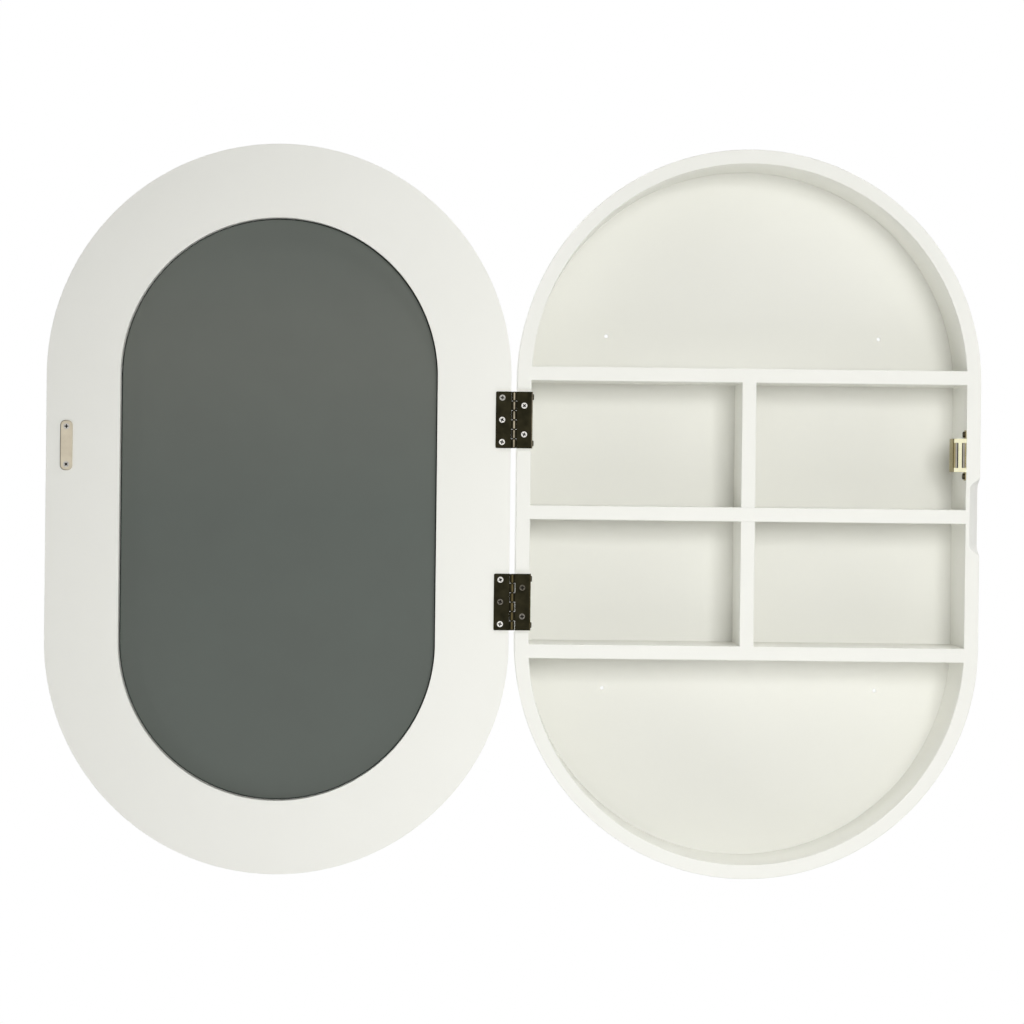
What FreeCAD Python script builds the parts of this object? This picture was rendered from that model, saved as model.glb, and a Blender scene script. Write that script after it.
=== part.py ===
import FreeCAD, Part
import math
import os

from FreeCAD import Placement, Rotation, Vector

# Wall cabinet with a pill outline, three shelves, a divider and one side-hung mirror door.
# Millimetres. X runs to the right, Y into the wall, Z up.
# The origin is the middle of the cabinet's back, in the plane of the wall.
# The door is modelled swung open to the left until it lies level with the cabinet's front.

# Box
CASE_WIDTH = 410.0
CASE_HEIGHT = 645.0
CASE_DEPTH = 102.0
WALL_THICKNESS = 12.5
EDGE_ROUND = 0.8
REAR_PANEL_THICKNESS = 5.0
REAR_PANEL_LAP = 6.0
REAR_PANEL_CLEARANCE = 0.2
WALL_HOLE_DIAMETER = 3.4
WALL_HOLE_SPACING_X = 248.0
WALL_HOLE_SPACING_Z = 320.0

# Shelves and divider; the outer shelves sit where the side panels end and the arches begin
SHELF_THICKNESS = 12.5
SHELF_PAST_SEAM = 5.3
DIVIDER_THICKNESS = 12.5
CROSS_LAP_CLEARANCE = 0.1

# Finger notch in the front corner of the right wall
NOTCH_LENGTH = 75.5
NOTCH_WIDTH = 9.0
NOTCH_DEPTH = 17.5
NOTCH_END_RADIUS = 7.5

# Dowels
DOWEL_RADIUS = 3.0
DOWEL_IN_BOARD = 20.0
DOWEL_COVER = 4.5
DOWEL_CHAMFER = 0.8
DOWEL_CLEARANCE = 0.1
DOWEL_END_CLEARANCE = 0.5
ARCH_DOWEL_LENGTH = 30.0
ARCH_DOWEL_SPACING = 24.0
SHELF_DOWEL_SPACING = 56.0

# Door and mirror
DOOR_THICKNESS = 18.0
DOOR_RIM_WIDTH = 65.0
DOOR_FRONT_ROUND = 3.0
DOOR_REAR_ROUND = 0.4
LIP_WIDTH = 6.0
LIP_THICKNESS = 2.5
LIP_ROUND = 1.2
TAPE_THICKNESS = 0.5
TAPE_INSET = 0.5
TAPE_EDGE_CLEARANCE = 0.1
GLASS_THICKNESS = 3.0
GLASS_CLEARANCE = 0.8
GLASS_ARRIS = 0.4
BACKING_THICKNESS = 0.2

# Hinges
HINGE_HEIGHT = 50.0
HINGE_BELOW_SHELF = 10.25
HINGE_ABOVE_SHELF = 12.0
KNUCKLE_COUNT = 6
KNUCKLE_RADIUS = 2.4
KNUCKLE_GAP = 0.25
KNUCKLE_CLEARANCE = 0.3
PIN_RADIUS = 1.2
PIN_FIXED_CLEARANCE = 0.02
PIN_RUNNING_CLEARANCE = 0.05
PIN_END_ROUND = 0.4
LEAF_THICKNESS = 1.2
LEAF_FACE_CLEARANCE = 0.8
DOOR_NOTCH_CLEARANCE = 0.12
CABINET_NOTCH_CLEARANCE = 0.3
LEAF_CORNER_ROUND = 1.2
DOOR_LEAF_WIDTH = 16.2
FLANGE_DEPTH = 14.0
GAIN_SPARE_ABOVE = 3.4
GAIN_SPARE_BELOW = 1.9

# Wood screws
SCREW_HEAD_RADIUS = 2.7
SCREW_HEAD_HEIGHT = 1.2
SCREW_SHANK_RADIUS = 1.5
SCREW_TIP_LENGTH = 2.5
SCREW_TIP_RADIUS = 0.3
SCREW_CLEARANCE = 0.1
SCREW_END_CLEARANCE = 0.5
SCREW_COVER = 4.0
PAN_HEAD_HEIGHT = 1.1
PAN_HEAD_ROUND = 0.6
RECESS_REACH = 1.6
RECESS_WIDTH = 0.95
RECESS_DEPTH = 0.9
DOOR_SCREW_OFFSET = 10.5
DOOR_SCREW_PITCH = 19.6
FACE_SCREW_SPACING = 25.4
FACE_SCREW_LENGTH = 18.0
FLANGE_SCREW_SPACING = 41.0
FLANGE_SCREW_INSET = 8.0
REAR_SCREW_SPACING = 200.0
REAR_SCREW_LENGTH = 20.0

# Magnetic catch
CATCH_LEVEL = 54.5
CATCH_WIDTH = 11.9
CATCH_HEIGHT = 29.5
CATCH_DEPTH = 25.0
CATCH_SHEET = 0.9
CATCH_EDGE_ROUND = 1.4
CATCH_EAR_LENGTH = 7.5
CATCH_EAR_DEPTH = 11.0
CATCH_EAR_ROUND = 2.5
CATCH_SCREW_COVER = 6.5
CATCH_SCREW_SHANK_RADIUS = 1.25
CATCH_PAN_HEIGHT = 1.9
SLOT_WIDTH = 2.4
SLOT_HEIGHT = 22.2
SLOT_WEB = 3.2
POLE_THICKNESS = 1.3
POLE_SIDE_CLEARANCE = 0.15
POLE_END_CLEARANCE = 0.3
POLE_SHOULDER = 2.2
POLE_REST_SETBACK = 0.3
POLE_BACK_CLEARANCE = 0.2
POLE_TO_STRIKE = 0.2
MAGNET_SETBACK = 2.0
MAGNET_SHORTER = 2.0

# Strike plate on the door
STRIKE_WIDTH = 10.9
STRIKE_HEIGHT = 44.2
STRIKE_THICKNESS = 1.2
STRIKE_CORNER_RADIUS = 4.5
STRIKE_EDGE_ROUND = 0.35
STRIKE_SCREW_SPACING = 33.5

# Places worked out from the sizes
TOLERANCE = 1e-4
SPARE = 5.0
HALF_WIDTH = CASE_WIDTH / 2
HALF_HEIGHT = CASE_HEIGHT / 2
HALF_STRAIGHT = HALF_HEIGHT - HALF_WIDTH
INNER_HALF_WIDTH = HALF_WIDTH - WALL_THICKNESS
FRONT_Y = -CASE_DEPTH
MIDDLE_Y = FRONT_Y / 2
SHELF_BACK_Y = -REAR_PANEL_THICKNESS
SHELF_SPACING = HALF_STRAIGHT + SHELF_PAST_SEAM
CELL_TOP = SHELF_SPACING - SHELF_THICKNESS / 2
SHELF_LEVELS = {"top_shelf": SHELF_SPACING, "middle_shelf": 0.0, "bottom_shelf": -SHELF_SPACING}

EDGE_GAP = 2 * (KNUCKLE_RADIUS + KNUCKLE_CLEARANCE)
CLOSED_GAP = LEAF_THICKNESS + LEAF_FACE_CLEARANCE
AXIS_X = -HALF_WIDTH - EDGE_GAP / 2
AXIS_Y = FRONT_Y - CLOSED_GAP / 2
HINGES = {
    "upper": CELL_TOP - HINGE_BELOW_SHELF - HINGE_HEIGHT / 2,
    "lower": HINGE_ABOVE_SHELF + HINGE_HEIGHT / 2 - CELL_TOP,
}
LEAF_FLANGE_X = -INNER_HALF_WIDTH + LEAF_THICKNESS

DOOR_X = AXIS_X - EDGE_GAP / 2 - HALF_WIDTH
DOOR_FRONT_Y = FRONT_Y + DOOR_THICKNESS
DOOR_OPENING_HALF = HALF_WIDTH - DOOR_RIM_WIDTH
LIP_OPENING_HALF = DOOR_OPENING_HALF - LIP_WIDTH
LIP_BACK_Y = DOOR_FRONT_Y - LIP_THICKNESS
GLASS_FRONT_Y = LIP_BACK_Y - TAPE_THICKNESS
GLASS_BACK_Y = GLASS_FRONT_Y - GLASS_THICKNESS
GLASS_HALF = DOOR_OPENING_HALF - GLASS_CLEARANCE

CATCH_X = INNER_HALF_WIDTH - (CATCH_WIDTH - CATCH_SHEET) / 2
CATCH_LEFT_X = INNER_HALF_WIDTH - CATCH_WIDTH
CATCH_BACK_Y = FRONT_Y + CATCH_DEPTH
CATCH_EAR_LEVEL = (CATCH_HEIGHT + CATCH_EAR_LENGTH) / 2
POLE_REACH = CLOSED_GAP - STRIKE_THICKNESS - POLE_TO_STRIKE
POLE_TRAVEL = POLE_REST_SETBACK + POLE_REACH
POLE_OUTER_HALF = SLOT_WEB / 2 + SLOT_WIDTH - POLE_SIDE_CLEARANCE
POLE_SHOULDER_Y = FRONT_Y + CATCH_SHEET + POLE_TRAVEL
POLE_BACK_Y = CATCH_BACK_Y - CATCH_SHEET - POLE_BACK_CLEARANCE
POLE_NOSE_HEIGHT = SLOT_HEIGHT - 2 * POLE_END_CLEARANCE
POLE_HEIGHT = POLE_NOSE_HEIGHT + 2 * POLE_SHOULDER
STRIKE_X = 2 * AXIS_X - CATCH_X

LEFT = Vector(-1, 0, 0)
RIGHT = Vector(1, 0, 0)
FORWARD = Vector(0, -1, 0)
INTO_WALL = Vector(0, 1, 0)
UP = Vector(0, 0, 1)


# Plain shapes
def box(x_span, y_span, z_span):
    size = [abs(span[1] - span[0]) for span in (x_span, y_span, z_span)]
    return Part.makeBox(size[0], size[1], size[2], Vector(min(x_span), min(y_span), min(z_span)))


def centred(middle, length):
    return (middle - length / 2, middle + length / 2)


def rod(start, direction, radius, length):
    return Part.makeCylinder(radius, length, start, direction)


def pill(centre_x, half_width, y_span):
    """Upright pill outline, a straight stretch between two half circles, drawn out along Y."""
    left = centre_x - half_width
    right = centre_x + half_width
    y = y_span[0]
    top_arc = Part.Arc(
        Vector(right, y, HALF_STRAIGHT),
        Vector(centre_x, y, HALF_STRAIGHT + half_width),
        Vector(left, y, HALF_STRAIGHT),
    )
    bottom_arc = Part.Arc(
        Vector(left, y, -HALF_STRAIGHT),
        Vector(centre_x, y, -HALF_STRAIGHT - half_width),
        Vector(right, y, -HALF_STRAIGHT),
    )
    right_line = Part.LineSegment(Vector(right, y, -HALF_STRAIGHT), Vector(right, y, HALF_STRAIGHT))
    left_line = Part.LineSegment(Vector(left, y, HALF_STRAIGHT), Vector(left, y, -HALF_STRAIGHT))
    outline = Part.Wire([curve.toShape() for curve in (right_line, top_arc, left_line, bottom_arc)])
    return Part.Face(outline).extrude(Vector(0, y_span[1] - y_span[0], 0))


def edges_in_plane(shape, y):
    """Edges that lie wholly in the plane at one Y."""
    found = []
    for edge in shape.Edges:
        points = edge.discretize(3)
        if all(abs(point.y - y) < TOLERANCE for point in points):
            found.append(edge)
    return found


def pill_edges(shape, centre_x, half_width, y):
    """Edges of one pill outline, told from the others by its half width."""
    found = []
    for edge in edges_in_plane(shape, y):
        if isinstance(edge.Curve, Part.Circle):
            reach = edge.Curve.Radius
        else:
            reach = abs(edge.CenterOfMass.x - centre_x)
        if abs(reach - half_width) < TOLERANCE:
            found.append(edge)
    return found


def edges_at(shape, x=None, y=None, z=None):
    """Edges whose two ends have the given coordinates."""
    found = []
    wanted = (x, y, z)
    for edge in shape.Edges:
        ends = [edge.valueAt(edge.FirstParameter), edge.valueAt(edge.LastParameter)]
        matches = [
            all(abs(end[axis] - value) < TOLERANCE for end in ends)
            for axis, value in enumerate(wanted)
            if value is not None
        ]
        if all(matches):
            found.append(edge)
    return found


def group(solids):
    return Part.makeCompound(solids)


# Screws and dowels
def cross_recess(seat, direction):
    arm = (-RECESS_REACH, RECESS_REACH)
    width = centred(0, RECESS_WIDTH)
    depth = (0, RECESS_DEPTH)
    cross = box(arm, width, depth).fuse(box(width, arm, depth))
    cross.Placement = Placement(seat, Rotation(UP, direction))
    return cross


def shank(start, direction, radius, length):
    straight = length - SCREW_TIP_LENGTH
    tip = Part.makeCone(radius, SCREW_TIP_RADIUS, SCREW_TIP_LENGTH, start + direction * straight, direction)
    return rod(start, direction, radius, straight).fuse(tip)


def flat_screw(seat, direction, length):
    """Countersunk screw whose head lies level with its seat."""
    neck = seat + direction * SCREW_HEAD_HEIGHT
    head = Part.makeCone(SCREW_HEAD_RADIUS, SCREW_SHANK_RADIUS, SCREW_HEAD_HEIGHT, seat, direction)
    body = head.fuse(shank(neck, direction, SCREW_SHANK_RADIUS, length - SCREW_HEAD_HEIGHT))
    return body.cut(cross_recess(seat, direction)).removeSplitter()


def flat_screw_hole(seat, direction, length):
    top = SCREW_HEAD_RADIUS + SCREW_CLEARANCE
    bore = SCREW_SHANK_RADIUS + SCREW_CLEARANCE
    sink = Part.makeCone(top, bore, SCREW_HEAD_HEIGHT, seat, direction)
    return sink.fuse(rod(seat, direction, bore, length + SCREW_END_CLEARANCE))


def pan_screw(seat, direction, length, shank_radius, head_height):
    """Round-headed screw whose head stands on its seat."""
    head = rod(seat, -direction, SCREW_HEAD_RADIUS, head_height)
    face = seat - direction * head_height
    rim = [edge for edge in head.Edges if edge.CenterOfMass.isEqual(face, TOLERANCE)]
    head = head.makeFillet(PAN_HEAD_ROUND, rim)
    body = head.fuse(shank(seat, direction, shank_radius, length))
    return body.cut(cross_recess(face, direction)).removeSplitter()


def pan_screw_hole(seat, direction, length, shank_radius):
    return rod(seat, direction, shank_radius + SCREW_CLEARANCE, length + SCREW_END_CLEARANCE)


def dowel(start, direction, length):
    peg = rod(start, direction, DOWEL_RADIUS, length)
    rims = [edge for edge in peg.Edges if edge.isClosed()]
    return peg.makeChamfer(DOWEL_CHAMFER, rims)


def dowel_hole(start, direction, length):
    mouth = start - direction * DOWEL_END_CLEARANCE
    return rod(mouth, direction, DOWEL_RADIUS + DOWEL_CLEARANCE, length + 2 * DOWEL_END_CLEARANCE)


# Where each fastener goes: its seat or start, its direction and its length
def inner_reach(level):
    """Half width of the space inside the walls at one level."""
    above = max(abs(level) - HALF_STRAIGHT, 0.0)
    return math.sqrt(INNER_HALF_WIDTH ** 2 - above ** 2)


def shelf_dowel_places():
    places = []
    in_wall = WALL_THICKNESS - DOWEL_COVER
    in_shelf = SHELF_THICKNESS - DOWEL_COVER
    for y in centred(MIDDLE_Y, SHELF_DOWEL_SPACING):
        for level in SHELF_LEVELS.values():
            reach = inner_reach(level) - DOWEL_IN_BOARD
            places.append((Vector(reach, y, level), RIGHT, DOWEL_IN_BOARD + in_wall))
            places.append((Vector(-reach, y, level), LEFT, DOWEL_IN_BOARD + in_wall))
        start = CELL_TOP - DOWEL_IN_BOARD
        places.append((Vector(0, y, start), UP, DOWEL_IN_BOARD + in_shelf))
        places.append((Vector(0, y, -start), -UP, DOWEL_IN_BOARD + in_shelf))
    return places


def arch_dowel_places():
    places = []
    wall_x = HALF_WIDTH - WALL_THICKNESS / 2
    for y in centred(MIDDLE_Y, ARCH_DOWEL_SPACING):
        for x in (-wall_x, wall_x):
            for seam in (-HALF_STRAIGHT, HALF_STRAIGHT):
                start = Vector(x, y, seam - ARCH_DOWEL_LENGTH / 2)
                places.append((start, UP, ARCH_DOWEL_LENGTH))
    return places


def rear_screw_places():
    places = []
    for level in SHELF_LEVELS.values():
        for x in centred(0, REAR_SCREW_SPACING):
            places.append((Vector(x, 0, level), FORWARD, REAR_SCREW_LENGTH))
    return places


def door_screw_places(level):
    x = AXIS_X - DOOR_SCREW_OFFSET
    y = FRONT_Y - LEAF_THICKNESS
    length = LEAF_THICKNESS + DOOR_THICKNESS - SCREW_COVER
    return [(Vector(x, y, level + step * DOOR_SCREW_PITCH), INTO_WALL, length) for step in (-1, 0, 1)]


def face_screw_places(level):
    x = -HALF_WIDTH + WALL_THICKNESS / 2
    return [(Vector(x, FRONT_Y, z), INTO_WALL, FACE_SCREW_LENGTH) for z in centred(level, FACE_SCREW_SPACING)]


def flange_screw_places(level):
    y = FRONT_Y + FLANGE_SCREW_INSET
    length = LEAF_THICKNESS + WALL_THICKNESS - SCREW_COVER
    return [(Vector(LEAF_FLANGE_X, y, z), LEFT, length) for z in centred(level, FLANGE_SCREW_SPACING)]


def catch_screw_places():
    x = INNER_HALF_WIDTH - CATCH_SHEET
    y = FRONT_Y + CATCH_EAR_DEPTH / 2
    length = CATCH_SHEET + WALL_THICKNESS - CATCH_SCREW_COVER
    return [(Vector(x, y, z), RIGHT, length) for z in centred(CATCH_LEVEL, 2 * CATCH_EAR_LEVEL)]


def strike_screw_places():
    y = FRONT_Y - STRIKE_THICKNESS
    length = STRIKE_THICKNESS + DOOR_THICKNESS - SCREW_COVER
    return [(Vector(STRIKE_X, y, z), INTO_WALL, length) for z in centred(CATCH_LEVEL, STRIKE_SCREW_SPACING)]


def flange_screw(seat, direction, length):
    return pan_screw(seat, direction, length, SCREW_SHANK_RADIUS, PAN_HEAD_HEIGHT)


def flange_screw_hole(seat, direction, length):
    return pan_screw_hole(seat, direction, length, SCREW_SHANK_RADIUS)


def catch_screw(seat, direction, length):
    return pan_screw(seat, direction, length, CATCH_SCREW_SHANK_RADIUS, CATCH_PAN_HEIGHT)


def catch_screw_hole(seat, direction, length):
    return pan_screw_hole(seat, direction, length, CATCH_SCREW_SHANK_RADIUS)


def at_places(maker, places):
    return [maker(*place) for place in places]


# Box: the boards are rounded along the front as one glued body, then taken apart again
def shelf_blank(level):
    board = box((-HALF_WIDTH, HALF_WIDTH), (FRONT_Y, SHELF_BACK_Y), centred(level, SHELF_THICKNESS))
    return board.common(pill(0, INNER_HALF_WIDTH, (FRONT_Y, 0)))


def divider_blank():
    return box(centred(0, DIVIDER_THICKNESS), (FRONT_Y, SHELF_BACK_Y), (-CELL_TOP, CELL_TOP))


def rounded_carcass():
    walls = pill(0, HALF_WIDTH, (FRONT_Y, 0)).cut(pill(0, INNER_HALF_WIDTH, (FRONT_Y, 0)))
    boards = [shelf_blank(level) for level in SHELF_LEVELS.values()]
    body = walls.fuse(boards + [divider_blank()]).removeSplitter()
    return body.makeFillet(EDGE_ROUND, edges_in_plane(body, FRONT_Y))


def finger_notch():
    """Cutter for a slanted finger pull with S-shaped run-outs at both ends."""
    front_inner = Vector(HALF_WIDTH - NOTCH_WIDTH, FRONT_Y, 0)
    outer_back = Vector(HALF_WIDTH, FRONT_Y + NOTCH_DEPTH, 0)
    along = outer_back - front_inner
    slant = along.Length
    along.normalize()
    outward = along.cross(UP)
    rise = (Vector(HALF_WIDTH, FRONT_Y, 0) - front_inner).dot(outward)
    turn = math.acos(1 - rise / (2 * NOTCH_END_RADIUS))
    run_out = 2 * NOTCH_END_RADIUS * math.sin(turn)
    floor_half = NOTCH_LENGTH / 2 - run_out
    start = front_inner - along * SPARE

    def point(z, height):
        return start + UP * z + outward * height

    def end_arcs(side):
        half_turn = turn / 2
        reach = NOTCH_END_RADIUS * math.sin(half_turn)
        lift = NOTCH_END_RADIUS * (1 - math.cos(half_turn))
        floor_end = point(side * floor_half, 0)
        bend = point(side * (floor_half + run_out / 2), rise / 2)
        top_end = point(side * (floor_half + run_out), rise)
        low_mid = point(side * (floor_half + reach), lift)
        high_mid = point(side * (floor_half + run_out - reach), rise - lift)
        return [Part.Arc(floor_end, low_mid, bend), Part.Arc(bend, high_mid, top_end)]

    top = rise + SPARE
    half = NOTCH_LENGTH / 2
    right = end_arcs(1)
    left = end_arcs(-1)
    lines = [
        Part.LineSegment(point(-floor_half, 0), point(floor_half, 0)),
        Part.LineSegment(point(half, rise), point(half, top)),
        Part.LineSegment(point(half, top), point(-half, top)),
        Part.LineSegment(point(-half, top), point(-half, rise)),
    ]
    edges = [curve.toShape() for curve in lines + right + left]
    outline = Part.Wire(Part.__sortEdges__(edges))
    return Part.Face(outline).extrude(along * (slant + 2 * SPARE))


def hinge_gain(level):
    """Cutter for the shallow seat of a cabinet leaf across the wall's front edge."""
    return box(
        (-HALF_WIDTH - SPARE, -INNER_HALF_WIDTH + SPARE),
        (FRONT_Y - SPARE, FRONT_Y + LEAF_THICKNESS),
        (level - HINGE_HEIGHT / 2 - GAIN_SPARE_BELOW, level + HINGE_HEIGHT / 2 + GAIN_SPARE_ABOVE),
    )


def wall_panels(carcass):
    """Left and right panels and the two arches, drilled and cut for what they carry."""
    lap_half = INNER_HALF_WIDTH + REAR_PANEL_LAP
    cutters = [
        pill(0, INNER_HALF_WIDTH, (FRONT_Y - SPARE, SPARE)),
        pill(0, lap_half, (-REAR_PANEL_THICKNESS, SPARE)),
        finger_notch(),
    ]
    cutters += at_places(dowel_hole, shelf_dowel_places() + arch_dowel_places())
    cutters += at_places(catch_screw_hole, catch_screw_places())
    for level in HINGES.values():
        cutters.append(hinge_gain(level))
        cutters += at_places(flat_screw_hole, face_screw_places(level))
        cutters += at_places(flange_screw_hole, flange_screw_places(level))
    walls = carcass.cut(cutters)
    wide = (-HALF_WIDTH - SPARE, HALF_WIDTH + SPARE)
    deep = (FRONT_Y - SPARE, SPARE)
    straight = (-HALF_STRAIGHT, HALF_STRAIGHT)
    high = (HALF_STRAIGHT, HALF_HEIGHT + SPARE)
    return {
        "top_arch": walls.common(box(wide, deep, high)),
        "bottom_arch": walls.common(box(wide, deep, (-high[1], -high[0]))),
        "left_side_panel": walls.common(box((wide[0], 0), deep, straight)),
        "right_side_panel": walls.common(box((0, wide[1]), deep, straight)),
    }


def shelf_boards(carcass):
    """Shelves and divider; the middle shelf and the divider cross in a halving joint."""
    holes = at_places(dowel_hole, shelf_dowel_places())
    holes += at_places(flat_screw_hole, rear_screw_places())
    lap_y = (FRONT_Y + SHELF_BACK_Y) / 2
    notch_x = centred(0, DIVIDER_THICKNESS + 2 * CROSS_LAP_CLEARANCE)
    notch_z = centred(0, SHELF_THICKNESS + 2 * CROSS_LAP_CLEARANCE)
    shelf_notch = box(notch_x, (lap_y - CROSS_LAP_CLEARANCE, SPARE), notch_z)
    divider_notch = box(notch_x, (FRONT_Y - SPARE, lap_y + CROSS_LAP_CLEARANCE), notch_z)
    boards = {}
    for name, level in SHELF_LEVELS.items():
        board = carcass.common(shelf_blank(level))
        boards[name] = board.cut(holes)
    boards["middle_shelf"] = boards["middle_shelf"].cut(shelf_notch)
    boards["divider"] = carcass.common(divider_blank()).cut(holes + [divider_notch])
    return boards


def rear_panel():
    half = INNER_HALF_WIDTH + REAR_PANEL_LAP - REAR_PANEL_CLEARANCE
    panel = pill(0, half, (-REAR_PANEL_THICKNESS, 0))
    holes = at_places(flat_screw_hole, rear_screw_places())
    for x in centred(0, WALL_HOLE_SPACING_X):
        for z in centred(0, WALL_HOLE_SPACING_Z):
            start = Vector(x, SPARE, z)
            holes.append(rod(start, FORWARD, WALL_HOLE_DIAMETER / 2, REAR_PANEL_THICKNESS + 2 * SPARE))
    return panel.cut(holes)


# Hinges
def knuckle_spans(level, first):
    """Heights of every second knuckle, counted down from the top."""
    pitch = HINGE_HEIGHT / KNUCKLE_COUNT
    top = level + HINGE_HEIGHT / 2
    return [(top - (index + 1) * pitch, top - index * pitch) for index in range(first, KNUCKLE_COUNT, 2)]


def rolled_leaf(plate, own_spans, other_spans, notch_clearance, bore_clearance):
    """Adds a leaf's own knuckles, clears the other leaf's and bores the barrel for the pin."""
    reach = KNUCKLE_RADIUS + notch_clearance
    leaf = plate
    for low, high in other_spans:
        notch_z = (low - KNUCKLE_GAP / 2, high + KNUCKLE_GAP / 2)
        leaf = leaf.cut(box(centred(AXIS_X, 2 * reach), centred(AXIS_Y, 2 * reach), notch_z))
    for low, high in own_spans:
        start = Vector(AXIS_X, AXIS_Y, low + KNUCKLE_GAP / 2)
        leaf = leaf.fuse(rod(start, UP, KNUCKLE_RADIUS, high - low - KNUCKLE_GAP))
    low = own_spans[-1][0] - HINGE_HEIGHT
    bore = rod(Vector(AXIS_X, AXIS_Y, low), UP, PIN_RADIUS + bore_clearance, 3 * HINGE_HEIGHT)
    return leaf.cut(bore).removeSplitter()


def cabinet_leaf(level):
    """Leaf let into the wall's front edge and bent round its inner corner."""
    tall = centred(level, HINGE_HEIGHT)
    face = box((AXIS_X, LEAF_FLANGE_X), (FRONT_Y, FRONT_Y + LEAF_THICKNESS), tall)
    flange = box((-INNER_HALF_WIDTH, LEAF_FLANGE_X), (FRONT_Y, FRONT_Y + FLANGE_DEPTH), tall)
    plate = face.fuse(flange).removeSplitter()
    plate = plate.makeFillet(LEAF_THICKNESS, edges_at(plate, x=LEAF_FLANGE_X, y=FRONT_Y))
    back_y = FRONT_Y + FLANGE_DEPTH
    corners = edges_at(plate, y=back_y, z=tall[0]) + edges_at(plate, y=back_y, z=tall[1])
    plate = plate.makeFillet(LEAF_CORNER_ROUND, corners)
    own, other = knuckle_spans(level, 0), knuckle_spans(level, 1)
    leaf = rolled_leaf(plate, own, other, CABINET_NOTCH_CLEARANCE, PIN_FIXED_CLEARANCE)
    holes = at_places(flat_screw_hole, face_screw_places(level))
    holes += at_places(flange_screw_hole, flange_screw_places(level))
    return leaf.cut(holes)


def door_leaf(level):
    """Flat leaf screwed on the back of the door."""
    tall = centred(level, HINGE_HEIGHT)
    edge_x = AXIS_X - DOOR_LEAF_WIDTH
    plate = box((edge_x, AXIS_X), (FRONT_Y - LEAF_THICKNESS, FRONT_Y), tall)
    corners = edges_at(plate, x=edge_x, z=tall[0]) + edges_at(plate, x=edge_x, z=tall[1])
    plate = plate.makeFillet(LEAF_CORNER_ROUND, corners)
    own, other = knuckle_spans(level, 1), knuckle_spans(level, 0)
    leaf = rolled_leaf(plate, own, other, DOOR_NOTCH_CLEARANCE, PIN_RUNNING_CLEARANCE)
    return leaf.cut(at_places(flat_screw_hole, door_screw_places(level)))


def hinge_pin(level):
    pin = rod(Vector(AXIS_X, AXIS_Y, level - HINGE_HEIGHT / 2), UP, PIN_RADIUS, HINGE_HEIGHT)
    ends = [edge for edge in pin.Edges if edge.isClosed()]
    return pin.makeFillet(PIN_END_ROUND, ends)


# Magnetic catch
def catch_housing():
    """Folded sheet cover, open towards the wall, with two slots in front and two screw ears."""
    tall = centred(CATCH_LEVEL, CATCH_HEIGHT)
    deep = (FRONT_Y, CATCH_BACK_Y)
    cover = box((CATCH_LEFT_X, INNER_HALF_WIDTH), deep, tall)
    corners = edges_at(cover, x=CATCH_LEFT_X, y=FRONT_Y) + edges_at(cover, x=CATCH_LEFT_X, y=CATCH_BACK_Y)
    cover = cover.makeFillet(CATCH_EDGE_ROUND, corners)
    ear_tall = centred(CATCH_LEVEL, CATCH_HEIGHT + 2 * CATCH_EAR_LENGTH)
    ear_x = (INNER_HALF_WIDTH - CATCH_SHEET, INNER_HALF_WIDTH)
    ear_y = (FRONT_Y, FRONT_Y + CATCH_EAR_DEPTH)
    ears = box(ear_x, ear_y, ear_tall)
    ear_corners = []
    for y in ear_y:
        for z in ear_tall:
            ear_corners += edges_at(ears, y=y, z=z)
    ears = ears.makeFillet(CATCH_EAR_ROUND, ear_corners)
    inside = box(
        (CATCH_LEFT_X + CATCH_SHEET, INNER_HALF_WIDTH + SPARE),
        (FRONT_Y + CATCH_SHEET, CATCH_BACK_Y - CATCH_SHEET),
        centred(CATCH_LEVEL, CATCH_HEIGHT - 2 * CATCH_SHEET),
    )
    cutters = [inside]
    for side in (-1, 1):
        slot_x = centred(CATCH_X + side * (SLOT_WEB + SLOT_WIDTH) / 2, SLOT_WIDTH)
        cutters.append(box(slot_x, (FRONT_Y - SPARE, FRONT_Y + SPARE), centred(CATCH_LEVEL, SLOT_HEIGHT)))
    cutters += at_places(catch_screw_hole, catch_screw_places())
    return cover.fuse(ears).cut(cutters).removeSplitter()


def pole_plates():
    """Two steel plates with noses that reach through the slots."""
    plates = []
    for side in (-1, 1):
        x = centred(CATCH_X + side * (POLE_OUTER_HALF - POLE_THICKNESS / 2), POLE_THICKNESS)
        body = box(x, (POLE_SHOULDER_Y, POLE_BACK_Y), centred(CATCH_LEVEL, POLE_HEIGHT))
        nose = box(x, (FRONT_Y + POLE_REST_SETBACK, POLE_BACK_Y), centred(CATCH_LEVEL, POLE_NOSE_HEIGHT))
        plates.append(body.fuse(nose).removeSplitter())
    return group(plates)


def catch_magnet():
    half = POLE_OUTER_HALF - POLE_THICKNESS
    y = (POLE_SHOULDER_Y + MAGNET_SETBACK, POLE_BACK_Y)
    return box(centred(CATCH_X, 2 * half), y, centred(CATCH_LEVEL, POLE_HEIGHT - MAGNET_SHORTER))


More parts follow.
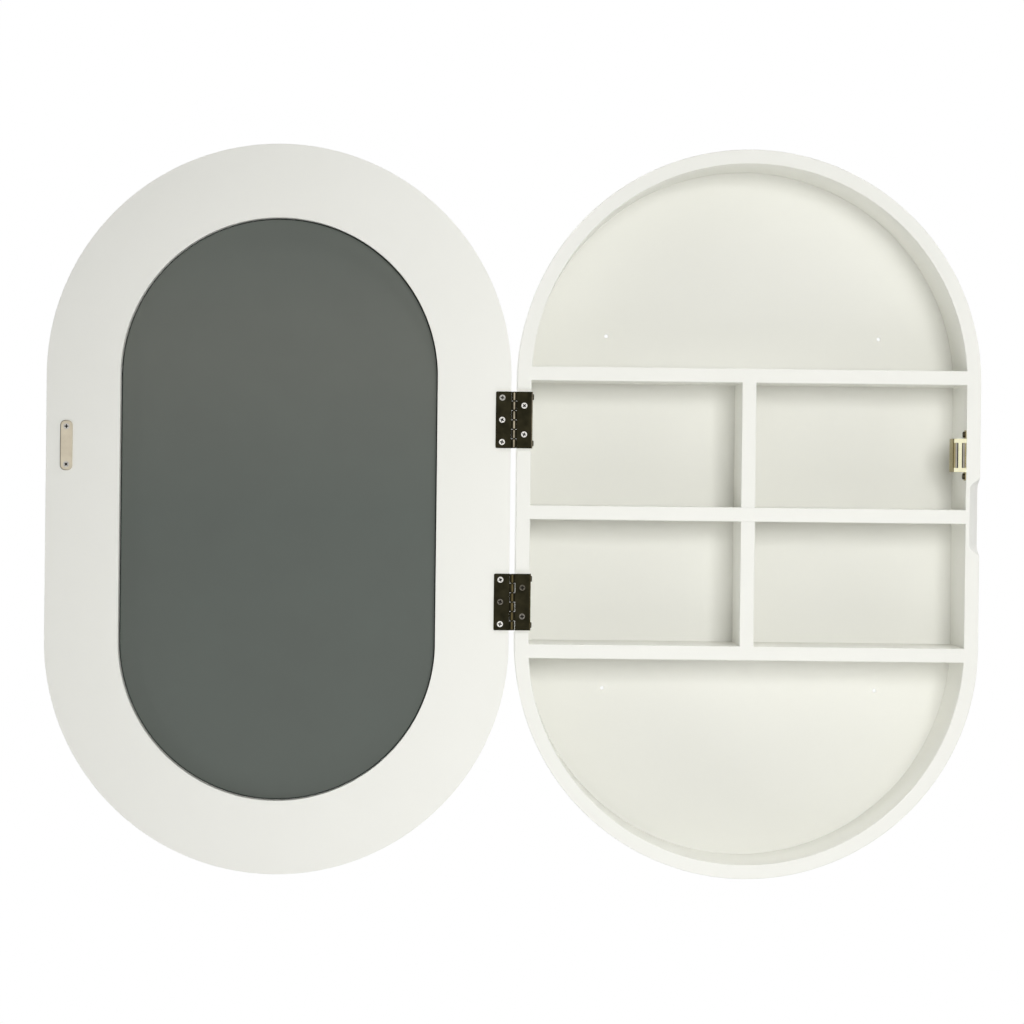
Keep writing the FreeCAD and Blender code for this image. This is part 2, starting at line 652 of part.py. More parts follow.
# Door
def door_frame():
    """Pill ring with a deep rear opening and a thin front lip that covers the mirror's edge."""
    deep = (FRONT_Y, DOOR_FRONT_Y)
    frame = pill(DOOR_X, HALF_WIDTH, deep)
    frame = frame.cut(pill(DOOR_X, DOOR_OPENING_HALF, (FRONT_Y - SPARE, LIP_BACK_Y)))
    frame = frame.cut(pill(DOOR_X, LIP_OPENING_HALF, (FRONT_Y - SPARE, DOOR_FRONT_Y + SPARE)))
    frame = frame.makeFillet(DOOR_REAR_ROUND, edges_in_plane(frame, FRONT_Y))
    frame = frame.makeFillet(DOOR_FRONT_ROUND, pill_edges(frame, DOOR_X, HALF_WIDTH, DOOR_FRONT_Y))
    frame = frame.makeFillet(LIP_ROUND, pill_edges(frame, DOOR_X, LIP_OPENING_HALF, DOOR_FRONT_Y))
    holes = at_places(flat_screw_hole, strike_screw_places())
    for level in HINGES.values():
        holes += at_places(flat_screw_hole, door_screw_places(level))
    return frame.cut(holes)


def mirror_glass():
    glass = pill(DOOR_X, GLASS_HALF, (GLASS_BACK_Y, GLASS_FRONT_Y))
    arrises = edges_in_plane(glass, GLASS_BACK_Y) + edges_in_plane(glass, GLASS_FRONT_Y)
    return glass.makeChamfer(GLASS_ARRIS, arrises)


def mirror_backing():
    return pill(DOOR_X, GLASS_HALF - GLASS_ARRIS, (GLASS_BACK_Y - BACKING_THICKNESS, GLASS_BACK_Y))


def mirror_tape():
    y_span = (GLASS_FRONT_Y, LIP_BACK_Y)
    outer = pill(DOOR_X, DOOR_OPENING_HALF - TAPE_EDGE_CLEARANCE, y_span)
    return outer.cut(pill(DOOR_X, LIP_OPENING_HALF + TAPE_INSET, y_span))


def strike_plate():
    plate = box(
        centred(STRIKE_X, STRIKE_WIDTH),
        (FRONT_Y - STRIKE_THICKNESS, FRONT_Y),
        centred(CATCH_LEVEL, STRIKE_HEIGHT),
    )
    corners = []
    for x in centred(STRIKE_X, STRIKE_WIDTH):
        for z in centred(CATCH_LEVEL, STRIKE_HEIGHT):
            corners += edges_at(plate, x=x, z=z)
    plate = plate.makeFillet(STRIKE_CORNER_RADIUS, corners)
    plate = plate.makeFillet(STRIKE_EDGE_ROUND, edges_in_plane(plate, FRONT_Y - STRIKE_THICKNESS))
    return plate.cut(at_places(flat_screw_hole, strike_screw_places()))


# All nodes by name
def build():
    carcass = rounded_carcass()
    nodes = {}
    nodes.update(wall_panels(carcass))
    nodes.update(shelf_boards(carcass))
    nodes["rear_panel"] = rear_panel()
    nodes["carcass_dowels"] = group(at_places(dowel, arch_dowel_places()))
    nodes["shelf_dowels"] = group(at_places(dowel, shelf_dowel_places()))
    nodes["rear_panel_screws"] = group(at_places(flat_screw, rear_screw_places()))
    for name, level in HINGES.items():
        nodes[name + "_cabinet_leaf"] = cabinet_leaf(level)
        nodes[name + "_door_leaf"] = door_leaf(level)
        nodes[name + "_hinge_pin"] = hinge_pin(level)
        nodes[name + "_face_screws"] = group(at_places(flat_screw, face_screw_places(level)))
        nodes[name + "_flange_screws"] = group(at_places(flange_screw, flange_screw_places(level)))
        nodes[name + "_door_screws"] = group(at_places(flat_screw, door_screw_places(level)))
    nodes["catch_housing"] = catch_housing()
    nodes["catch_pole_plates"] = pole_plates()
    nodes["catch_magnet"] = catch_magnet()
    nodes["catch_screws"] = group(at_places(catch_screw, catch_screw_places()))
    nodes["door_frame"] = door_frame()
    nodes["mirror_glass"] = mirror_glass()
    nodes["mirror_backing"] = mirror_backing()
    nodes["mirror_tape"] = mirror_tape()
    nodes["strike_plate"] = strike_plate()
    nodes["strike_screws"] = group(at_places(flat_screw, strike_screw_places()))
    return nodes


os.makedirs("parts", exist_ok=True)
for node_name, node_shape in build().items():
    node_shape.exportStep("parts/" + node_name + ".step")
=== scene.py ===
import math

import bmesh
import bpy
from mathutils import Matrix, Vector


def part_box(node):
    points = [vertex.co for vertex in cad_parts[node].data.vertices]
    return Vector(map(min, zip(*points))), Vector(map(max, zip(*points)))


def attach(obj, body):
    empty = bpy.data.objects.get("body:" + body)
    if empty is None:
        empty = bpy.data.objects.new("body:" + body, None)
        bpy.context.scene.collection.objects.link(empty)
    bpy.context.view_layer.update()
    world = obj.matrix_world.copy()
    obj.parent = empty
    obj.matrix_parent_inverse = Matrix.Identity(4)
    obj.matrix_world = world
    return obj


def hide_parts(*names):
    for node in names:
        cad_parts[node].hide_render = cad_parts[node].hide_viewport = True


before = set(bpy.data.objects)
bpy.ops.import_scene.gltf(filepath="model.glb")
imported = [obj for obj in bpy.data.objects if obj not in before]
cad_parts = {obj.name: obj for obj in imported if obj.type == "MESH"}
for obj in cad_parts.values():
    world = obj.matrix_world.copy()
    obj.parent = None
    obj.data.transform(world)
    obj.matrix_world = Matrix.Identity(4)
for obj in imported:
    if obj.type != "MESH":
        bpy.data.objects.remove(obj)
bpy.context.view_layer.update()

# Fineness of the meshes
RING_STEPS = 256
CORNER_STEPS = 6
SCREW_SIDES = 48
HEAD_ROUND_STEPS = 5
MERGE_DISTANCE = 1e-6
CREASE_ANGLE = math.radians(35)

# Door ring
DOOR_RIM_WIDTH = 0.065
DOOR_LIP_WIDTH = 0.006
DOOR_LIP_THICKNESS = 0.0025
DOOR_REAR_ROUND = 0.0004
DOOR_FRONT_ROUND = 0.003
DOOR_LIP_ROUND = 0.0012

# Hinges; reaches are measured from the axis
FRONT_Y = -0.102
PLATE_FACE_Y = -0.1032
HINGE_LEVELS = (0.0813, -0.07955)
HINGE_HEIGHT = 0.05
HINGE_AXIS_X = -0.2077
HINGE_AXIS_Y = -0.103
LEAF_BEND_X = -0.1917
KNUCKLE_COUNT = 6
KNUCKLE_PITCH = HINGE_HEIGHT / KNUCKLE_COUNT
KNUCKLE_RADIUS = 0.0024
DOOR_NOTCH_REACH = -0.00252
WALL_NOTCH_REACH = 0.0027
SNUG_NOTCH_REACH = 0.00242
NOTCH_TOLERANCE = 1e-6

# Shapes of the screws
SCREW_HEAD_RADIUS = 0.0027
FLAT_HEAD_SINK = 0.0012
FLAT_HEAD_ROUND = 0.00025
PAN_HEAD_ROUND = 0.0008
FLANGE_HEAD_RISE = 0.0011
CATCH_HEAD_RISE = 0.0019
SHANK_RADIUS = 0.0015
CATCH_SHANK_RADIUS = 0.00125
TIP_LENGTH = 0.0025
TIP_RADIUS = 0.0003
DOOR_SCREW_LENGTH = 0.0152
WALL_SCREW_LENGTH = 0.018
REAR_SCREW_LENGTH = 0.020
FLANGE_SCREW_LENGTH = 0.0097
CATCH_SCREW_LENGTH = 0.0069
RECESS_REACH = 0.0017
RECESS_WIDTH = 0.0011
RECESS_DEPTH = 0.0009
RECESS_TAPER = 0.45

# Places of the screws; steps go up and down from a fitting's middle
DOOR_SCREW_X = -0.2182
DOOR_SCREW_STEP = 0.0196
WALL_SCREW_X = -0.19875
WALL_SCREW_STEP = 0.0127
FLANGE_FACE_X = -0.1913
FLANGE_SCREW_Y = -0.094
FLANGE_SCREW_STEP = 0.0205
STRIKE_SCREW_X = -0.6024
STRIKE_SCREW_STEP = 0.01675
CATCH_LEVEL = 0.0545
CATCH_EAR_X = 0.1916
CATCH_SCREW_Y = -0.0965
CATCH_SCREW_STEP = 0.0185
SHELF_LEVELS = (0.1228, 0.0, -0.1228)
REAR_SCREW_STEP_X = 0.1

# Tarnish of the nickel screws, from none to one, in the order of their seats
DOOR_SCREW_TARNISH = (0.0, 0.05, 0.5, 0.0, 0.95, 0.1)
WALL_SCREW_TARNISH = (0.0, 0.05, 0.9, 1.0)
STRIKE_SCREW_TARNISH = 0.4
REAR_SCREW_TARNISH = 0.3

# Finishes: patterns
PATTERN_LOW = 0.3
PATTERN_HIGH = 0.7
CLOUD_ROUGHNESS = 0.55
EVEN_GRAIN = (1.0, 1.0, 1.0)
UPRIGHT_GRAIN = (1.0, 1.0, 0.03)
PEG_GRAIN = (0.2, 1.0, 0.2)

# Finishes: where wear, painted highlights, painted shade and shadow, and a painted sheen begin and end
# Hinges: wear along the barrel and the leaf's bend, with a painted highlight on it
HIGHLIGHT_HALF_WIDTH = 0.0002
HIGHLIGHT_FADE_WIDTH = 0.0008
CREST_DEPTH = 0.0004
CREST_FADE_DEPTH = 0.0009
JOINT_HALF_WIDTH = 0.0006
JOINT_FADE_WIDTH = 0.0011
BEND_HIGHLIGHT = 0.5
# Catch: a painted lit face and web, painted shade beside the slots, a painted shadow at its bend
CATCH_MIDDLE_X = 0.187
CATCH_HALF_HEIGHT = 0.01475
CATCH_END_FADE = 0.0002
FOLD_SHADOW_WIDTH = 0.0008
FOLD_SHADOW_FADE_WIDTH = 0.0012
SLOT_SHADE_HALF_HEIGHT = 0.0105
SLOT_FADE_HALF_HEIGHT = 0.0115
WEB_LIT_HALF_WIDTH = 0.0036
WEB_FADE_HALF_WIDTH = 0.0042
STRIKE_CORNER_RADIUS = 0.0045
# Strike plate: a painted shadow along its edge
SHADOW_EDGE_START = 0.0036
SHADOW_EDGE_FULL = 0.0041
SHADOW_SIDE_START = -0.002
GLASS_EDGE_Y = -0.0873
SILVER_FACE_Y = -0.0871
GROUND_EDGE_ROUGHNESS = 0.4
# Mirror's back: a paler band of painted sheen across its upper part
SHEEN_BAND_LEVEL = 0.15
SHEEN_BAND_HALF_HEIGHT = 0.02
SHEEN_BAND_FADE_HEIGHT = 0.15
# Screws: painted shade in the driver recess
RECESS_RIM = 5e-5
RECESS_SHADE_DEPTHS = 1.1

# Camera, floor and light
WHITE = (1.0, 1.0, 1.0, 1.0)
CAMERA_PLACE = (-0.23999, -3.36777, 0.02643)
CAMERA_TURN = (89.5359, -0.6532, -0.5447)
CAMERA_LENS = 130.0
FLOOR_LEVEL = -0.95
FLOOR_RADIUS = 3.0
FLOOR_SIDES = 96
FLOOR_ROUGHNESS = 0.8
FLOOR_PALENESS = 0.55
ROOM_LIGHT = 0.1
DOOR_AND_BOX = (-0.2, -0.05, 0.0)
BOX_BOTTOM = (0.0, -0.06, -0.31)
RIGHT_WALL = (0.19, -0.06, -0.05)
LOWER_RIGHT_WALL = (0.19, -0.06, -0.1)

# Each lamp's place, target, size, spread in degrees and power in watts
LAMPS = {
    "lamp_key": ((0.31, -3.5, 0.375), DOOR_AND_BOX, 0.9, 180.0, 61.3),
    "lamp_right": ((2.4, -0.3, 0.2), DOOR_AND_BOX, 1.2, 180.0, 13.0),
    "lamp_below": ((-0.1, -0.35, -0.9), DOOR_AND_BOX, 0.8, 180.0, 0.8),
    "lamp_into_bottom": ((0.1, -1.0, 1.7), BOX_BOTTOM, 0.8, 20.0, 0.65),
    "lamp_low_left": ((-2.0, -1.0, -0.8), LOWER_RIGHT_WALL, 1.0, 60.0, 0.95),
    "lamp_on_right_wall": ((-1.6, -1.1, -0.3), RIGHT_WALL, 0.6, 30.0, 0.13),
    "lamp_wall_side": ((-1.8, 2.6, 0.8), DOOR_AND_BOX, 2.0, 180.0, 70.0),
}


# Node trees
def feed(tree, socket, value):
    """Links another socket to this one, or sets its value."""
    if isinstance(value, bpy.types.NodeSocket):
        tree.links.new(value, socket)
    else:
        socket.default_value = value


def add(tree, kind, inputs=None, **settings):
    """Adds a node, with its settings and what feeds its inputs."""
    node = tree.nodes.new(kind)
    for name, value in settings.items():
        setattr(node, name, value)
    for name, value in (inputs or {}).items():
        feed(tree, node.inputs[name], value)
    return node


def calc(tree, operation, first, second=0.0):
    """One sum; an operation on a single number leaves the second unused."""
    node = add(tree, "ShaderNodeMath", operation=operation)
    feed(tree, node.inputs[0], first)
    feed(tree, node.inputs[1], second)
    return node.outputs[0]


def distance(tree, value, middle):
    """How far a value is from a middle, on either side."""
    return calc(tree, "ABSOLUTE", calc(tree, "SUBTRACT", value, middle))


def axes(tree, vector):
    """The coordinates of a vector, by name."""
    return add(tree, "ShaderNodeSeparateXYZ", {"Vector": vector}).outputs


# Finishes
def start_finish(name):
    """A material with its shader, and coordinates that stay with the piece."""
    material = bpy.data.materials.new(name)
    material.use_nodes = True
    tree = material.node_tree
    tree.nodes.clear()
    shader = add(tree, "ShaderNodeBsdfPrincipled")
    output = add(tree, "ShaderNodeOutputMaterial")
    tree.links.new(shader.outputs["BSDF"], output.inputs["Surface"])
    coordinates = add(tree, "ShaderNodeTexCoord").outputs["Object"]
    return material, tree, shader, coordinates


def coat(tree, shader, colour, roughness, relief=None, metallic=0.0):
    """Gives a shader its colour, roughness, relief and share of metal."""
    feed(tree, shader.inputs["Base Color"], colour)
    feed(tree, shader.inputs["Roughness"], roughness)
    feed(tree, shader.inputs["Metallic"], metallic)
    if relief is not None:
        feed(tree, shader.inputs["Normal"], relief)


def noise(tree, coordinates, scale, detail=2.0, stretch=EVEN_GRAIN):
    """Cloudy pattern; scale is the number of clouds in a metre."""
    placed = add(tree, "ShaderNodeMapping", {"Vector": coordinates, "Scale": stretch})
    inputs = {
        "Vector": placed.outputs["Vector"],
        "Scale": scale,
        "Detail": detail,
        "Roughness": CLOUD_ROUGHNESS,
    }
    return add(tree, "ShaderNodeTexNoise", inputs).outputs["Fac"]


def shades(tree, pattern, dark, light, low=PATTERN_LOW, high=PATTERN_HIGH):
    """Colours between two shades, by a pattern."""
    ramp = add(tree, "ShaderNodeValToRGB", {"Fac": pattern})
    ends = ramp.color_ramp.elements
    ends[0].position = low
    ends[0].color = (*dark, 1.0)
    ends[1].position = high
    ends[1].color = (*light, 1.0)
    return ramp.outputs["Color"]


def between(tree, pattern, low, high):
    """Numbers between two limits, by a pattern."""
    inputs = {
        "Value": pattern,
        "From Min": PATTERN_LOW,
        "From Max": PATTERN_HIGH,
        "To Min": low,
        "To Max": high,
    }
    return add(tree, "ShaderNodeMapRange", inputs).outputs["Result"]


def bumps(tree, pattern, height, under=None):
    """Raises the surface by a pattern; height in metres."""
    inputs = {"Height": pattern, "Strength": 1.0, "Distance": height}
    if under is not None:
        inputs["Normal"] = under
    return add(tree, "ShaderNodeBump", inputs).outputs["Normal"]


def mixed(tree, amount, first, second):
    """Colours that go from the first to the second by an amount."""
    node = add(tree, "ShaderNodeMix", data_type="RGBA")
    feed(tree, node.inputs["Factor"], amount)
    for name, colour in (("A", first), ("B", second)):
        socket = next(item for item in node.inputs if item.name == name and item.type == "RGBA")
        feed(tree, socket, colour)
    return next(item for item in node.outputs if item.type == "RGBA")


def fade(tree, value, start, end):
    """One up to the start, then falls to none at the end."""
    inputs = {"Value": value, "From Min": start, "From Max": end, "To Min": 1.0, "To Max": 0.0}
    return add(tree, "ShaderNodeMapRange", inputs).outputs["Result"]


def satin_white_paint():
    """Warm white paint on board: rolled stipple, faint flow marks and uneven sheen."""
    material, tree, shader, spot = start_finish("satin_white_paint")
    broad = noise(tree, spot, scale=5.0, detail=3.0)
    stipple = noise(tree, spot, scale=900.0, detail=3.0)
    flow = noise(tree, spot, scale=160.0)
    colour = shades(tree, broad, (0.886, 0.885, 0.828), (0.898, 0.897, 0.844))
    relief = bumps(tree, flow, height=0.00001)
    relief = bumps(tree, stipple, height=0.000004, under=relief)
    coat(tree, shader, colour, between(tree, flow, 0.29, 0.35), relief)
    return material


def mirror_back_paint():
    """Grey-green protective paint: faint clouds, a fine grain, and a paler band of painted sheen across its
    upper part.
    """
    material, tree, shader, spot = start_finish("mirror_back_paint")
    clouds = noise(tree, spot, scale=16.0, detail=4.0)
    grain = noise(tree, spot, scale=1500.0)
    # A paler band across the upper part: painted sheen
    from_sheen_band = distance(tree, axes(tree, spot)["Z"], SHEEN_BAND_LEVEL)
    in_sheen_band = fade(tree, from_sheen_band, SHEEN_BAND_HALF_HEIGHT, SHEEN_BAND_FADE_HEIGHT)
    plain_grey = shades(tree, clouds, (0.092, 0.104, 0.092), (0.100, 0.114, 0.101))
    sheen_grey = shades(tree, clouds, (0.112, 0.121, 0.106), (0.122, 0.132, 0.116))
    relief = bumps(tree, grain, height=0.000012)
    coat(tree, shader, mixed(tree, in_sheen_band, plain_grey, sheen_grey), between(tree, clouds, 0.42, 0.52), relief)
    return material


def metal(name, dark, light, rough, grain=EVEN_GRAIN):
    """Plated metal: clouded tint, uneven sheen and a fine grain that may run one way."""
    material, tree, shader, spot = start_finish(name)
    patina = noise(tree, spot, scale=120.0, detail=3.0)
    lines = noise(tree, spot, scale=900.0, detail=3.0, stretch=grain)
    colour = shades(tree, patina, dark, light)
    relief = bumps(tree, lines, height=0.000006)
    coat(tree, shader, colour, between(tree, lines, rough[0], rough[1]), relief, metallic=1.0)
    return material


def rub_line(tree, place, line_x, crest_y):
    """One on an upright line at the front of a bend, none a millimetre away; it marks wear with a painted
    highlight.
    """
    near = fade(tree, distance(tree, place["X"], line_x), HIGHLIGHT_HALF_WIDTH, HIGHLIGHT_FADE_WIDTH)
    in_front = fade(tree, place["Y"], crest_y + CREST_DEPTH, crest_y + CREST_FADE_DEPTH)
    return calc(tree, "MULTIPLY", near, in_front)


def bronze_with_worn_highlights():
    """Near-black bronze, with wear and a painted highlight along the barrel and the leaf's bend, brighter
    on the upper hinge.
    """
    material, tree, shader, spot = start_finish("bronze_with_worn_highlights")
    patina = noise(tree, spot, scale=140.0, detail=3.0)
    lines = noise(tree, spot, scale=900.0, detail=3.0, stretch=UPRIGHT_GRAIN)
    place = axes(tree, spot)
    # The upper hinge takes the brighter painted highlight
    upper = calc(tree, "GREATER_THAN", place["Z"], 0.0)
    rise = calc(tree, "MULTIPLY", upper, HINGE_LEVELS[0] - HINGE_LEVELS[1])
    from_level = calc(tree, "SUBTRACT", place["Z"], calc(tree, "ADD", rise, HINGE_LEVELS[1]))
    from_joint = calc(tree, "PINGPONG", from_level, KNUCKLE_PITCH / 2)
    knuckle = calc(tree, "SUBTRACT", 1.0, fade(tree, from_joint, JOINT_HALF_WIDTH, JOINT_FADE_WIDTH))
    # Wear along the front of the barrel, broken at the knuckle joints, and half as much along the leaf's
    # bend; it also carries a painted highlight
    barrel = rub_line(tree, place, HINGE_AXIS_X, HINGE_AXIS_Y - KNUCKLE_RADIUS)
    barrel = calc(tree, "MULTIPLY", barrel, knuckle)
    bend = calc(tree, "MULTIPLY", rub_line(tree, place, LEAF_BEND_X, FRONT_Y), BEND_HIGHLIGHT)
    worn_highlight = calc(tree, "MULTIPLY", calc(tree, "MAXIMUM", barrel, bend), between(tree, patina, 0.5, 1.0))
    # Plating stays near-black; the lines take the yellow metal of the wear, brightened as a painted
    # highlight, more on the upper hinge
    plating = shades(tree, patina, (0.017, 0.0155, 0.0085), (0.034, 0.030, 0.016))
    upper_worn_highlight = shades(tree, lines, (0.50, 0.42, 0.30), (0.72, 0.63, 0.48))
    lower_worn_highlight = shades(tree, lines, (0.13, 0.10, 0.04), (0.24, 0.185, 0.08))
    colour = mixed(tree, worn_highlight, plating, mixed(tree, upper, lower_worn_highlight, upper_worn_highlight))
    relief = bumps(tree, lines, height=0.000004)
    coat(tree, shader, colour, between(tree, lines, 0.15, 0.26), relief, metallic=1.0)
    return material


def gilt_plate():
    """Gilt plating in painted light: the catch's lit face clear of its slots, painted shade elsewhere, a
    brown painted shadow at its bend.
    """
    material, tree, shader, spot = start_finish("gilt_plate")
    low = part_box("catch_housing")[0]
    clouds = noise(tree, spot, scale=120.0, detail=3.0)
    lines = noise(tree, spot, scale=900.0, detail=3.0, stretch=UPRIGHT_GRAIN)
    place = axes(tree, spot)
    off_level = distance(tree, place["Z"], CATCH_LEVEL)
    aside = distance(tree, place["X"], CATCH_MIDDLE_X)
    in_front = fade(tree, place["Y"], low.y + CREST_DEPTH, low.y + CREST_FADE_DEPTH)
    clear_of_ears = fade(tree, off_level, CATCH_HALF_HEIGHT, CATCH_HALF_HEIGHT + CATCH_END_FADE)
    face = calc(tree, "MULTIPLY", in_front, clear_of_ears)
    # A brown painted shadow along the bend between the face and the side
    fold_shadow = fade(tree, place["X"], low.x + FOLD_SHADOW_WIDTH, low.x + FOLD_SHADOW_FADE_WIDTH)
    fold_shadow = calc(tree, "MULTIPLY", face, fold_shadow)
    # Painted light on the web and past the slots' ends; the rest of the catch takes a painted darker shade
    beside_slots = fade(tree, off_level, SLOT_SHADE_HALF_HEIGHT, SLOT_FADE_HALF_HEIGHT)
    web = fade(tree, aside, WEB_LIT_HALF_WIDTH, WEB_FADE_HALF_WIDTH)
    lit_face = calc(tree, "MAXIMUM", web, calc(tree, "SUBTRACT", 1.0, beside_slots))
    lit_face = calc(tree, "MULTIPLY", face, lit_face)
    # Lit and shaded copies of the gilt, and the brown of the painted shadow
    bright = shades(tree, clouds, (0.84, 0.80, 0.55), (0.94, 0.91, 0.66))
    shaded_gilt = shades(tree, clouds, (0.31, 0.265, 0.145), (0.39, 0.335, 0.19))
    brown = shades(tree, clouds, (0.085, 0.065, 0.022), (0.13, 0.10, 0.04))
    colour = mixed(tree, fold_shadow, mixed(tree, lit_face, shaded_gilt, bright), brown)
    relief = bumps(tree, lines, height=0.000005)
    coat(tree, shader, colour, between(tree, lines, 0.17, 0.26), relief, metallic=1.0)
    feed(tree, shader.inputs["Specular Tint"], (0.62, 0.58, 0.44, 1.0))
    return material


def champagne_plate():
    """Brushed champagne plating, with a painted shadow along its edge on the side towards the mirror."""
    material, tree, shader, spot = start_finish("champagne_plate")
    low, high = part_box("strike_plate")
    middle = (low + high) / 2
    half = (high - low) / 2
    clouds = noise(tree, spot, scale=120.0, detail=3.0)
    lines = noise(tree, spot, scale=900.0, detail=3.0, stretch=UPRIGHT_GRAIN)
    place = axes(tree, spot)
    from_middle = calc(tree, "SUBTRACT", place["X"], middle.x)
    from_level = calc(tree, "SUBTRACT", place["Z"], middle.z)
    past = []
    for offset, reach in ((from_middle, half.x), (from_level, half.z)):
        outwards = calc(tree, "SUBTRACT", calc(tree, "ABSOLUTE", offset), reach - STRIKE_CORNER_RADIUS)
        past.append(calc(tree, "POWER", calc(tree, "MAXIMUM", outwards, 0.0), 2.0))
    from_core = calc(tree, "SQRT", calc(tree, "ADD", past[0], past[1]))
    # A painted shadow along the plate's edge, on its side towards the mirror
    inside_edge = fade(tree, from_core, SHADOW_EDGE_START, SHADOW_EDGE_FULL)
    shadow_side = fade(tree, from_middle, SHADOW_SIDE_START, half.x)
    edge_shadow = calc(tree, "MULTIPLY", calc(tree, "SUBTRACT", 1.0, inside_edge), shadow_side)
    plating = shades(tree, clouds, (0.555, 0.495, 0.385), (0.635, 0.57, 0.445))
    dark = shades(tree, lines, (0.12, 0.105, 0.075), (0.17, 0.15, 0.11))
    relief = bumps(tree, lines, height=0.000006)
    roughness = between(tree, lines, 0.28, 0.38)
    coat(tree, shader, mixed(tree, edge_shadow, plating, dark), roughness, relief, metallic=1.0)
    return material


def nickel_plate():
    """Bright nickel screws: some tarnished brown, all with painted shade in the driver recess."""
    material, tree, shader, spot = start_finish("nickel_plate")
    clouds = noise(tree, spot, scale=400.0, detail=3.0)
    scratches = noise(tree, spot, scale=2500.0)
    tarnish = add(tree, "ShaderNodeAttribute", attribute_name="tarnish").outputs["Fac"]
    recess = add(tree, "ShaderNodeAttribute", attribute_name="recess").outputs["Fac"]
    bright = shades(tree, clouds, (0.80, 0.78, 0.735), (0.92, 0.90, 0.86))
    brown = shades(tree, clouds, (0.09, 0.08, 0.062), (0.17, 0.155, 0.125))
    # Painted shade in the driver recess
    recess_shade = shades(tree, clouds, (0.012, 0.011, 0.009), (0.035, 0.031, 0.026))
    colour = mixed(tree, recess, mixed(tree, tarnish, bright, brown), recess_shade)
    relief = bumps(tree, scratches, height=0.000004)
    coat(tree, shader, colour, between(tree, scratches, 0.15, 0.26), relief, metallic=1.0)
    return material


def silvered_glass():
    """Mirror with a silvered face; its ground edge is dark green."""
    material, tree, shader, spot = start_finish("silvered_glass")
    smears = noise(tree, spot, scale=6.0, detail=3.0)
    edge = fade(tree, axes(tree, spot)["Y"], GLASS_EDGE_Y, SILVER_FACE_Y)
    silver = shades(tree, smears, (0.80, 0.83, 0.82), (0.84, 0.86, 0.85))
    ground = shades(tree, noise(tree, spot, scale=800.0), (0.015, 0.028, 0.024), (0.03, 0.05, 0.042))
    edge_roughness = calc(tree, "MULTIPLY", edge, GROUND_EDGE_ROUGHNESS)
    roughness = calc(tree, "ADD", between(tree, smears, 0.01, 0.03), edge_roughness)
    metallic = calc(tree, "SUBTRACT", 1.0, edge)
    coat(tree, shader, mixed(tree, edge, silver, ground), roughness, metallic=metallic)
    return material


def ferrite_block():
    """Pressed ceramic magnet: dark grey with pale specks."""
    material, tree, shader, spot = start_finish("ferrite_block")
    specks = noise(tree, spot, scale=2500.0)
    colour = shades(tree, specks, (0.03, 0.03, 0.032), (0.09, 0.09, 0.092), low=0.45, high=0.75)
    coat(tree, shader, colour, between(tree, specks, 0.6, 0.8), bumps(tree, specks, height=0.00003))
    return material


def beech_wood():
    """Turned beech pegs: pale pink-brown with short darker flecks."""
    material, tree, shader, spot = start_finish("beech_wood")
    grain = noise(tree, spot, scale=300.0, detail=4.0, stretch=PEG_GRAIN)
    colour = shades(tree, grain, (0.42, 0.25, 0.13), (0.60, 0.41, 0.24))
    coat(tree, shader, colour, between(tree, grain, 0.5, 0.65), bumps(tree, grain, height=0.00003))
    return material


def foam_tape():
    """Black foam tape with small closed cells."""
    material, tree, shader, spot = start_finish("black_foam_tape")
    cells = add(tree, "ShaderNodeTexVoronoi", {"Vector": spot, "Scale": 1800.0}).outputs["Distance"]
    colour = shades(tree, cells, (0.016, 0.016, 0.017), (0.034, 0.034, 0.036))
    coat(tree, shader, colour, between(tree, cells, 0.75, 0.9), bumps(tree, cells, height=0.00005))
    return material


FINISHES = {
    "painted_board": satin_white_paint(),
    "backing_paint": mirror_back_paint(),
    "mirror": silvered_glass(),
    "dark_bronze": bronze_with_worn_highlights(),
    "nickel_screw": nickel_plate(),
    "dark_screw": metal(
        "bronzed_screw",
        dark=(0.045, 0.038, 0.024),
        light=(0.105, 0.090, 0.060),
        rough=(0.28, 0.38),
    ),
    "gilt_steel": gilt_plate(),
    "pole_steel": metal(
        "bare_steel",
        dark=(0.33, 0.31, 0.27),
        light=(0.45, 0.425, 0.37),
        rough=(0.28, 0.42),
        grain=UPRIGHT_GRAIN,
    ),
    "champagne_steel": champagne_plate(),
    "ferrite": ferrite_block(),
    "beech": beech_wood(),
    "foam_tape": foam_tape(),
}


# Geometry node trees
def start_tree(name, sizes, counts):
    """A tree that takes a geometry, named sizes, counts and a finish. Returns it with its input sockets."""
    tree = bpy.data.node_groups.new(name, "GeometryNodeTree")
    tree.is_modifier = True
    face = tree.interface
    face.new_socket("Geometry", in_out="INPUT", socket_type="NodeSocketGeometry")
    face.new_socket("Geometry", in_out="OUTPUT", socket_type="NodeSocketGeometry")
    for size in sizes:
        face.new_socket(size, in_out="INPUT", socket_type="NodeSocketFloat")
    for count in counts:
        face.new_socket(count, in_out="INPUT", socket_type="NodeSocketInt")
    face.new_socket("Finish", in_out="INPUT", socket_type="NodeSocketMaterial")
    return tree, add(tree, "NodeGroupInput").outputs


